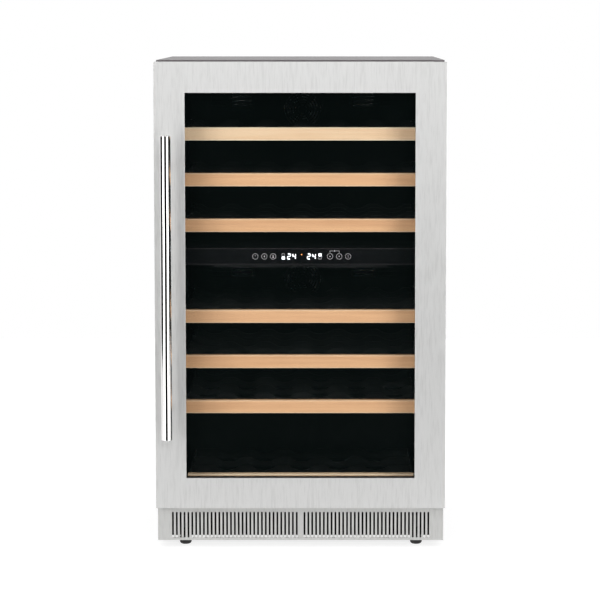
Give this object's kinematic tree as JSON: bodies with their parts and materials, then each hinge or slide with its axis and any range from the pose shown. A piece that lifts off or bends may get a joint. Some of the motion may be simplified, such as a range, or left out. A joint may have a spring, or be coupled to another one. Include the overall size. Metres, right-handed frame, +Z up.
{
  "type": "wine cooler",
  "caption": "Undercounter dual-zone wine cooler: insulated cabinet with a steel-framed glass door, vertical bar handle, pull-out beech-fronted bottle racks, touch panel and slotted plinth.",
  "frame": {"origin": "on the floor, in the middle of the overall width and depth, handle and rear screw heads included", "axes": "+X to the right seen from the front, +Y towards the back, +Z up"},
  "size_m": [0.595, 0.623, 1.006],
  "materials": {
    "brushed_steel": "brushed vertically",
    "handle_steel": "fine satin",
    "black_sheet": "satin black paint",
    "black_coat": "black powder coat",
    "zinc_sheet": "galvanised",
    "zinc_hardware": "zinc plated",
    "black_plastic": "fine texture",
    "liner_plastic": "satin moulded",
    "panel_gloss": "gloss black",
    "foam": "foamed in place",
    "beech": "unfinished sanded beech",
    "tinted_glass": "tinted",
    "clear_glass": "clear",
    "spacer_metal": "black anodised",
    "black_rubber": "matt",
    "fin_aluminium": "mill finish",
    "compressor_black": "gloss black paint",
    "copper": "drawn copper",
    "tray_plastic": "smooth",
    "box_plastic": "smooth",
    "board_green": "solder mask",
    "led_diffuser": "smoked",
    "bush_plastic": "acetal"
  },
  "bodies": {
    "cabinet": {"side_panel_left": "black_sheet", "side_panel_right": "black_sheet", "top_panel": "black_sheet", "rear_panel": "zinc_sheet", "rear_grille": "black_plastic", "base_plate": "zinc_sheet", "bay_sheet": "zinc_sheet", "kick_plate": "brushed_steel", "front_frame": "black_plastic", "insulation": "foam", "liner_upper": "liner_plastic", "liner_lower": "liner_plastic", "control_panel": "panel_gloss", "display_board": "board_green", "compressor": "compressor_black", "compressor_mounts": "black_rubber", "condenser": "fin_aluminium", "condenser_fan_frame": "black_plastic", "drip_tray": "tray_plastic", "control_box": "box_plastic", "power_inlet": "black_plastic", "refrigerant_pipes": "copper", "evaporators": "fin_aluminium", "duct_cover_upper": "liner_plastic", "duct_cover_lower": "liner_plastic", "circulation_fan_frames": "black_plastic", "led_bars": "led_diffuser", "shelf_rails": "zinc_hardware", "bottom_board": "beech", "bottom_rack": "black_coat", "hinge_brackets": "zinc_hardware", "screws": "zinc_hardware"},
    "door": {"door_frame": "brushed_steel", "glass_outer": "tinted_glass", "glass_inner": "clear_glass", "glass_spacer": "spacer_metal", "door_inner_frame": "black_plastic", "gasket": "black_rubber", "handle_bar": "handle_steel", "handle_posts": "handle_steel", "hinge_bushes": "bush_plastic"},
    "shelf_tray_1": {"shelf_1": "beech", "shelf_1_rack": "black_coat"},
    "shelf_tray_2": {"shelf_2": "beech", "shelf_2_rack": "black_coat"},
    "shelf_tray_3": {"shelf_3": "beech", "shelf_3_rack": "black_coat"},
    "shelf_tray_4": {"shelf_4": "beech", "shelf_4_rack": "black_coat"},
    "shelf_tray_5": {"shelf_5": "beech", "shelf_5_rack": "black_coat"},
    "shelf_tray_6": {"shelf_6": "beech", "shelf_6_rack": "black_coat"},
    "upper_fan": {"fan_rotor_upper": "black_plastic"},
    "lower_fan": {"fan_rotor_lower": "black_plastic"},
    "condenser_fan": {"condenser_fan_rotor": "black_plastic"},
    "levelling_foot_front_left": {"foot_front_left": "black_rubber"},
    "levelling_foot_front_right": {"foot_front_right": "black_rubber"},
    "levelling_foot_rear_left": {"foot_rear_left": "black_rubber"},
    "levelling_foot_rear_right": {"foot_rear_right": "black_rubber"}
  },
  "joints": [
    {"name": "door_swing", "type": "hinge", "parent": "cabinet", "child": "door", "pos_m": [0.285, -0.2415, 0.5445], "axis": [0, 0, 1], "range_deg": [0, 110]},
    {"name": "shelf_1_slide", "type": "slide", "parent": "cabinet", "child": "shelf_tray_1", "axis": [0, -1, 0], "range_m": [0, 0.3]},
    {"name": "shelf_2_slide", "type": "slide", "parent": "cabinet", "child": "shelf_tray_2", "axis": [0, -1, 0], "range_m": [0, 0.3]},
    {"name": "shelf_3_slide", "type": "slide", "parent": "cabinet", "child": "shelf_tray_3", "axis": [0, -1, 0], "range_m": [0, 0.3]},
    {"name": "shelf_4_slide", "type": "slide", "parent": "cabinet", "child": "shelf_tray_4", "axis": [0, -1, 0], "range_m": [0, 0.3]},
    {"name": "shelf_5_slide", "type": "slide", "parent": "cabinet", "child": "shelf_tray_5", "axis": [0, -1, 0], "range_m": [0, 0.3]},
    {"name": "shelf_6_slide", "type": "slide", "parent": "cabinet", "child": "shelf_tray_6", "axis": [0, -1, 0], "range_m": [0, 0.3]},
    {"name": "upper_fan_spin", "type": "hinge", "parent": "cabinet", "child": "upper_fan", "pos_m": [0, 0.2548, 0.889], "axis": [0, 1, 0], "continuous": true},
    {"name": "lower_fan_spin", "type": "hinge", "parent": "cabinet", "child": "lower_fan", "pos_m": [0, 0.2548, 0.507], "axis": [0, 1, 0], "continuous": true},
    {"name": "condenser_fan_spin", "type": "hinge", "parent": "cabinet", "child": "condenser_fan", "pos_m": [0.003, 0.223, 0.0765], "axis": [1, 0, 0], "continuous": true},
    {"name": "front_left_foot_screw", "type": "slide", "parent": "cabinet", "child": "levelling_foot_front_left", "axis": [0, 0, -1], "range_m": [0, 0.025]},
    {"name": "front_right_foot_screw", "type": "slide", "parent": "cabinet", "child": "levelling_foot_front_right", "axis": [0, 0, -1], "range_m": [0, 0.025]},
    {"name": "rear_left_foot_screw", "type": "slide", "parent": "cabinet", "child": "levelling_foot_rear_left", "axis": [0, 0, -1], "range_m": [0, 0.025]},
    {"name": "rear_right_foot_screw", "type": "slide", "parent": "cabinet", "child": "levelling_foot_rear_right", "axis": [0, 0, -1], "range_m": [0, 0.025]}
  ],
  "couplings": [
    {"joint": "shelf_1_slide", "follows": "door_swing", "m_per_rad": 0.05},
    {"joint": "shelf_2_slide", "follows": "door_swing", "m_per_rad": 0.05},
    {"joint": "shelf_3_slide", "follows": "door_swing", "m_per_rad": 0.05},
    {"joint": "shelf_4_slide", "follows": "door_swing", "m_per_rad": 0.05},
    {"joint": "shelf_5_slide", "follows": "door_swing", "m_per_rad": 0.05},
    {"joint": "shelf_6_slide", "follows": "door_swing", "m_per_rad": 0.05}
  ]
}
